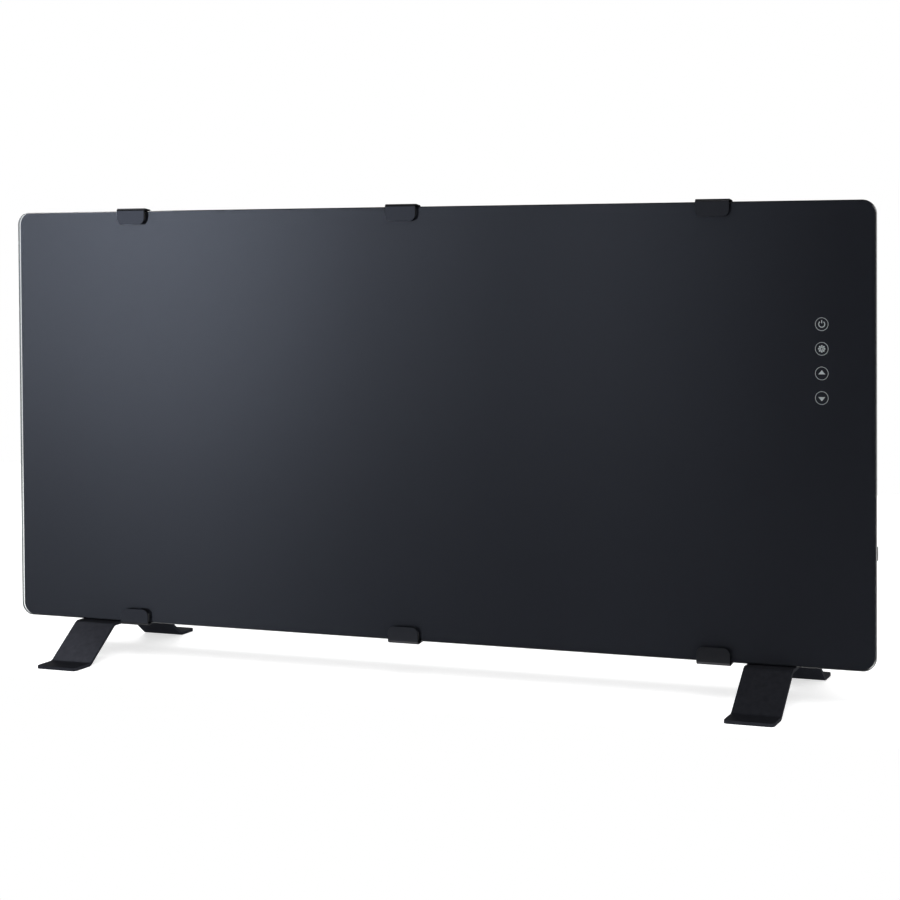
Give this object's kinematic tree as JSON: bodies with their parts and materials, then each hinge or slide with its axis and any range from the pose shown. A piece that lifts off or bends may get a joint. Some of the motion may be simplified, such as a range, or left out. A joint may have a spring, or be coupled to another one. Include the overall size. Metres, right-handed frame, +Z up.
{
  "type": "glass panel heater",
  "caption": "Free-standing electric panel heater with a dark glass front held by bent clips, a slotted steel housing, bent strip feet, touch keys and a side rocker switch.",
  "frame": {"origin": "on the floor under the middle of the body: centre of the glass in X, middle of the feet in Y", "axes": "+X to the right of someone facing the glass, +Y away from them towards the back, +Z up"},
  "size_m": [0.85, 0.23, 0.4375],
  "materials": {
    "glass": "toughened glass, polished face, ground edges, dark print behind",
    "clip_coat": "satin black powder coat",
    "foot_coat": "satin black powder coat",
    "housing_coat": "fine textured dark powder coat",
    "silicone": "matt silicone",
    "plated_steel": "zinc plated",
    "element_alloy": "bare extrusion",
    "ceramic": "glazed ceramic",
    "board": "green laminate",
    "component_case": "moulded black plastic",
    "white_nylon": "natural nylon",
    "foam": "conductive foam",
    "switch_plastic": "fine satin black plastic",
    "brass_blade": "bare brass",
    "lead_sleeve": "silicone sleeve"
  },
  "bodies": {
    "heater": {"glass_clip_top_left": "clip_coat", "glass_clip_top_centre": "clip_coat", "glass_clip_top_right": "clip_coat", "glass_clip_bottom_left": "clip_coat", "glass_clip_bottom_centre": "clip_coat", "glass_clip_bottom_right": "clip_coat", "glass_panel": "glass", "clip_liners": "silicone", "left_foot": "foot_coat", "right_foot": "foot_coat", "front_chassis": "housing_coat", "rear_cover": "housing_coat", "upper_heating_element": "element_alloy", "lower_heating_element": "element_alloy", "element_pins": "plated_steel", "element_insulators": "ceramic", "left_element_bracket": "plated_steel", "right_element_bracket": "plated_steel", "heat_shield": "plated_steel", "overheat_cutout": "plated_steel", "control_partition": "plated_steel", "partition_grommets": "silicone", "touch_board": "board", "touch_holder": "component_case", "touch_posts": "foam", "touch_ribbon": "white_nylon", "power_board": "board", "board_standoffs": "white_nylon", "power_relays": "component_case", "power_transformer": "component_case", "power_capacitor": "component_case", "tip_over_switch": "component_case", "terminal_block": "white_nylon", "room_sensor": "component_case", "cord_bush": "switch_plastic", "switch_housing": "switch_plastic", "switch_terminals": "brass_blade", "link_leads": "lead_sleeve", "element_leads": "lead_sleeve", "switch_leads": "lead_sleeve", "supply_leads": "lead_sleeve"},
    "rocker": {"switch_rocker": "switch_plastic"}
  },
  "joints": [
    {"name": "rocker_tilt", "type": "hinge", "parent": "heater", "child": "rocker", "pos_m": [0.4135, 0.008, 0.129], "axis": [0, 0, 1], "range_deg": [0, 20]}
  ]
}
